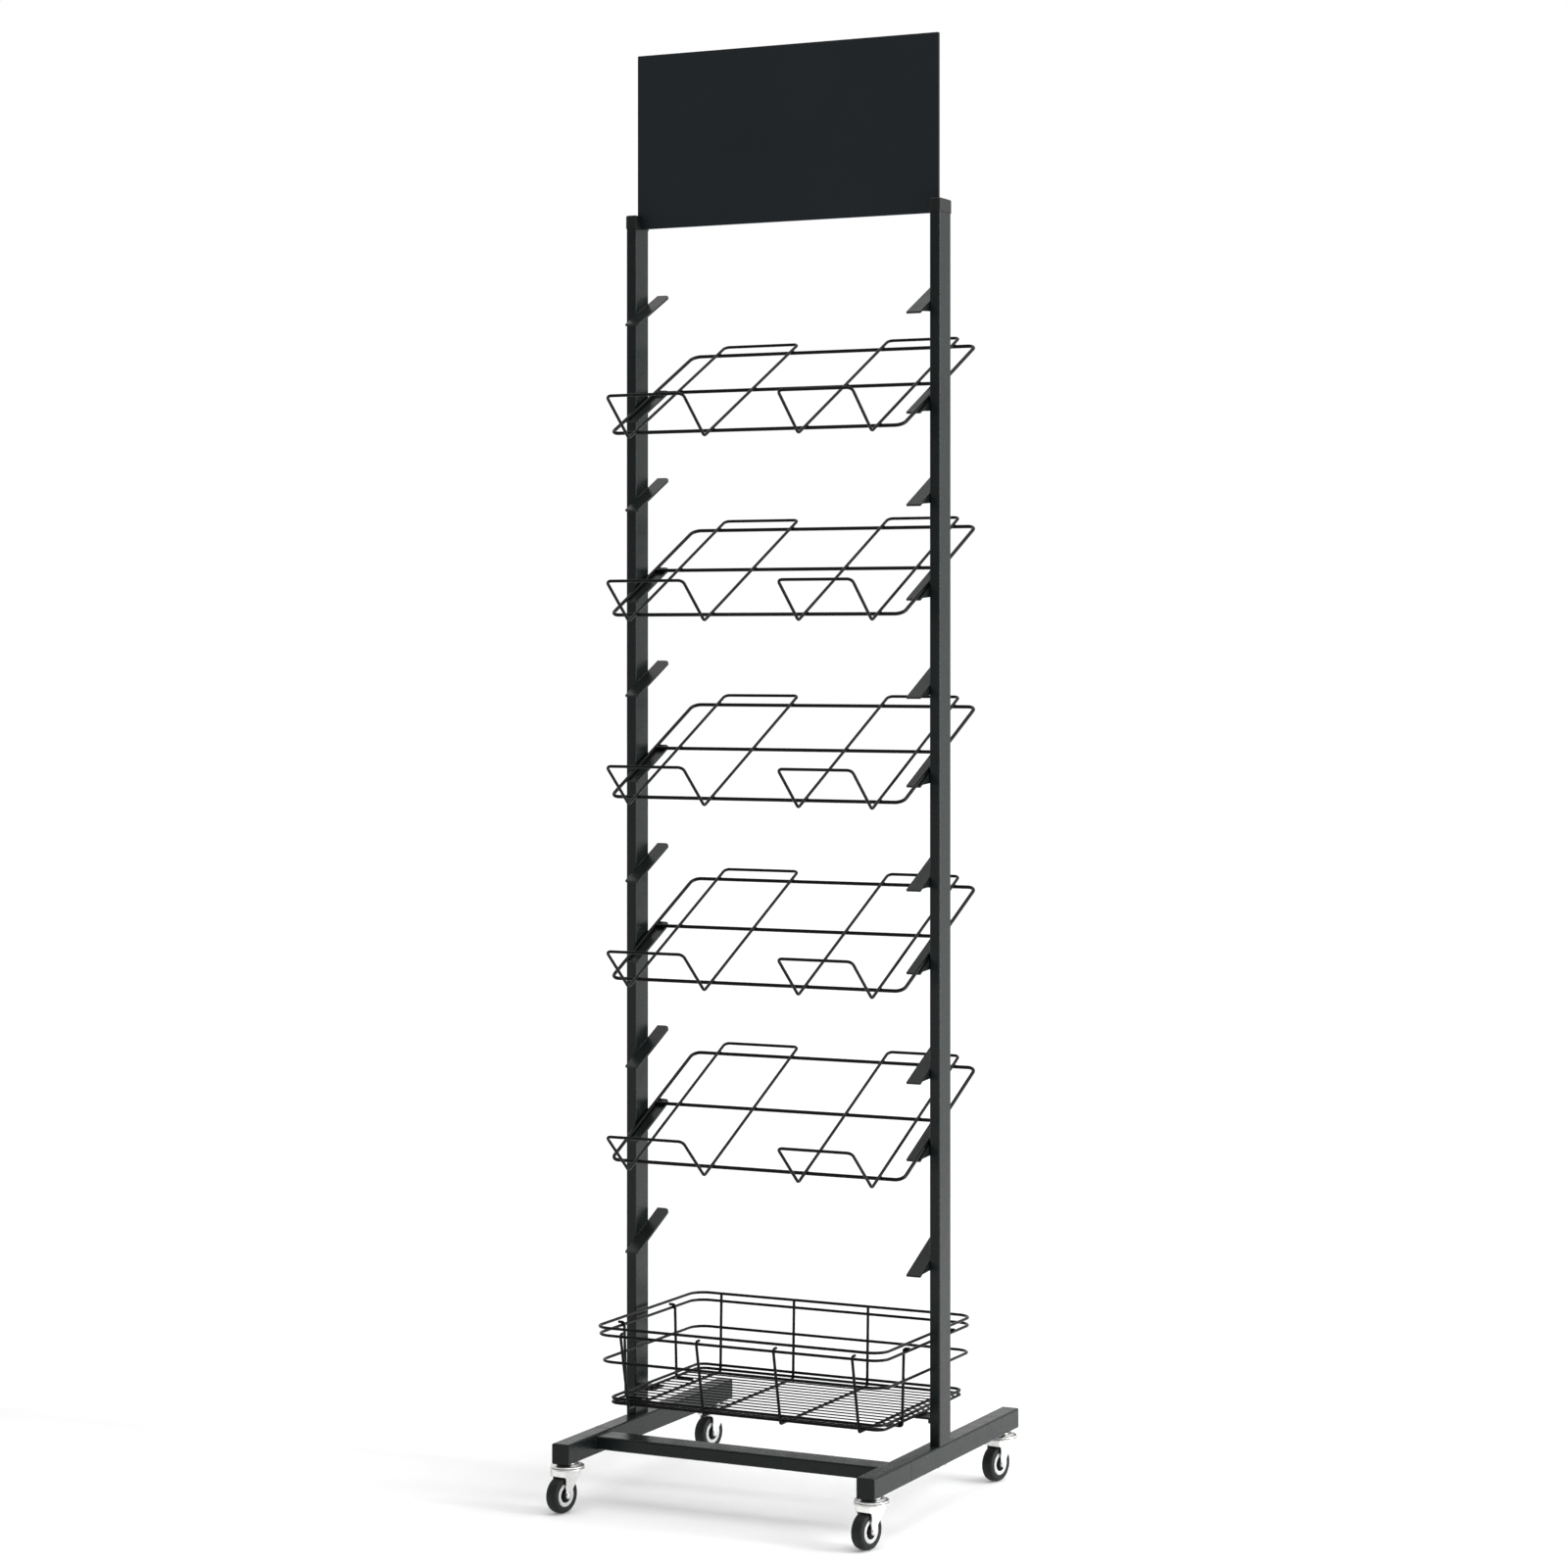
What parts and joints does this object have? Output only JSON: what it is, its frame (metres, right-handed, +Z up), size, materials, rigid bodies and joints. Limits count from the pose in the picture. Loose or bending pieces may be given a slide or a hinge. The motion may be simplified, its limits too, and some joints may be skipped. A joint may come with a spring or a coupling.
{
  "type": "wheeled magazine display stand",
  "caption": "Free-standing black steel display stand on swivel casters, with a blank sign panel on top, sloping wire magazine racks on small ledges, and a wire basket below.",
  "frame": {"origin": "on the floor, under the middle of the stand's overall box", "axes": "+X to the stand's right, +Y to its back, +Z up; the racks' front lips face -Y"},
  "size_m": [0.502, 0.5048, 2.002],
  "materials": {
    "powder_coat": "satin black powder coat with a fine orange peel",
    "cap_plastic": "matt black moulded plastic",
    "bare_steel": "bare drawn steel",
    "screw_steel": "zinc-plated",
    "sign_black": "smooth satin black board",
    "rack_wire": "semi-gloss black coated wire",
    "basket_wire": "semi-gloss black coated wire",
    "bright_zinc": "bright zinc-plated pressed steel",
    "axle_steel": "zinc-plated rivet",
    "hub_plastic": "light grey moulded plastic",
    "tyre_rubber": "smooth dark rubber tread"
  },
  "bodies": {
    "root": {"left_foot_rail": "powder_coat", "right_foot_rail": "powder_coat", "left_front_stub": "powder_coat", "right_front_stub": "powder_coat", "cross_rail": "powder_coat", "left_spigot": "bare_steel", "right_spigot": "bare_steel", "base_screws": "screw_steel", "left_post": "powder_coat", "right_post": "powder_coat", "left_post_cap": "cap_plastic", "right_post_cap": "cap_plastic", "front_left_end_cap": "cap_plastic", "front_right_end_cap": "cap_plastic", "rear_left_end_cap": "cap_plastic", "rear_right_end_cap": "cap_plastic", "left_ledges": "powder_coat", "right_ledges": "powder_coat", "left_basket_rest": "powder_coat", "right_basket_rest": "powder_coat", "front_left_caster_stem": "bright_zinc", "front_right_caster_stem": "bright_zinc", "rear_left_caster_stem": "bright_zinc", "rear_right_caster_stem": "bright_zinc"},
    "sign": {"sign_panel": "sign_black"},
    "rack_1": {"rack_1_frame": "rack_wire", "rack_1_left_pocket": "rack_wire", "rack_1_right_pocket": "rack_wire"},
    "rack_2": {"rack_2_frame": "rack_wire", "rack_2_left_pocket": "rack_wire", "rack_2_right_pocket": "rack_wire"},
    "rack_3": {"rack_3_frame": "rack_wire", "rack_3_left_pocket": "rack_wire", "rack_3_right_pocket": "rack_wire"},
    "rack_4": {"rack_4_frame": "rack_wire", "rack_4_left_pocket": "rack_wire", "rack_4_right_pocket": "rack_wire"},
    "rack_5": {"rack_5_frame": "rack_wire", "rack_5_left_pocket": "rack_wire", "rack_5_right_pocket": "rack_wire"},
    "basket": {"basket_rims": "basket_wire", "basket_uprights": "basket_wire", "basket_floor_frame": "basket_wire", "basket_floor_wires": "basket_wire"},
    "front_left_swivel": {"front_left_caster_fork": "bright_zinc", "front_left_caster_axle": "axle_steel"},
    "front_left_wheel": {"front_left_caster_hub": "hub_plastic", "front_left_caster_tyre": "tyre_rubber"},
    "front_right_swivel": {"front_right_caster_fork": "bright_zinc", "front_right_caster_axle": "axle_steel"},
    "front_right_wheel": {"front_right_caster_hub": "hub_plastic", "front_right_caster_tyre": "tyre_rubber"},
    "rear_left_swivel": {"rear_left_caster_fork": "bright_zinc", "rear_left_caster_axle": "axle_steel"},
    "rear_left_wheel": {"rear_left_caster_hub": "hub_plastic", "rear_left_caster_tyre": "tyre_rubber"},
    "rear_right_swivel": {"rear_right_caster_fork": "bright_zinc", "rear_right_caster_axle": "axle_steel"},
    "rear_right_wheel": {"rear_right_caster_hub": "hub_plastic", "rear_right_caster_tyre": "tyre_rubber"}
  },
  "joints": [
    {"name": "sign_lift", "type": "slide", "parent": "root", "child": "sign", "axis": [0, 0, 1], "range_m": [0, 0.018]},
    {"name": "rack_1_lift", "type": "slide", "parent": "root", "child": "rack_1", "axis": [0, 0, 1], "range_m": [0, 0.06]},
    {"name": "rack_2_lift", "type": "slide", "parent": "root", "child": "rack_2", "axis": [0, 0, 1], "range_m": [0, 0.06]},
    {"name": "rack_3_lift", "type": "slide", "parent": "root", "child": "rack_3", "axis": [0, 0, 1], "range_m": [0, 0.06]},
    {"name": "rack_4_lift", "type": "slide", "parent": "root", "child": "rack_4", "axis": [0, 0, 1], "range_m": [0, 0.06]},
    {"name": "rack_5_lift", "type": "slide", "parent": "root", "child": "rack_5", "axis": [0, 0, 1], "range_m": [0, 0.06]},
    {"name": "basket_lift", "type": "slide", "parent": "root", "child": "basket", "axis": [0, 0, 1], "range_m": [0, 0.06]},
    {"name": "front_left_swivel_turn", "type": "hinge", "parent": "root", "child": "front_left_swivel", "pos_m": [-0.227, -0.2155, 0.0574], "axis": [0, 0, 1], "continuous": true},
    {"name": "front_left_wheel_spin", "type": "hinge", "parent": "front_left_swivel", "child": "front_left_wheel", "pos_m": [-0.22929, -0.22728, 0.025], "axis": [0.9816, -0.1908, 0], "continuous": true},
    {"name": "front_right_swivel_turn", "type": "hinge", "parent": "root", "child": "front_right_swivel", "pos_m": [0.227, -0.2155, 0.0574], "axis": [0, 0, 1], "continuous": true},
    {"name": "front_right_wheel_spin", "type": "hinge", "parent": "front_right_swivel", "child": "front_right_wheel", "pos_m": [0.22471, -0.22728, 0.025], "axis": [0.9816, -0.1908, 0], "continuous": true},
    {"name": "rear_left_swivel_turn", "type": "hinge", "parent": "root", "child": "rear_left_swivel", "pos_m": [-0.227, 0.217, 0.0574], "axis": [0, 0, 1], "continuous": true},
    {"name": "rear_left_wheel_spin", "type": "hinge", "parent": "rear_left_swivel", "child": "rear_left_wheel", "pos_m": [-0.22929, 0.20522, 0.025], "axis": [0.9816, -0.1908, 0], "continuous": true},
    {"name": "rear_right_swivel_turn", "type": "hinge", "parent": "root", "child": "rear_right_swivel", "pos_m": [0.227, 0.217, 0.0574], "axis": [0, 0, 1], "continuous": true},
    {"name": "rear_right_wheel_spin", "type": "hinge", "parent": "rear_right_swivel", "child": "rear_right_wheel", "pos_m": [0.22471, 0.20522, 0.025], "axis": [0.9816, -0.1908, 0], "continuous": true}
  ]
}
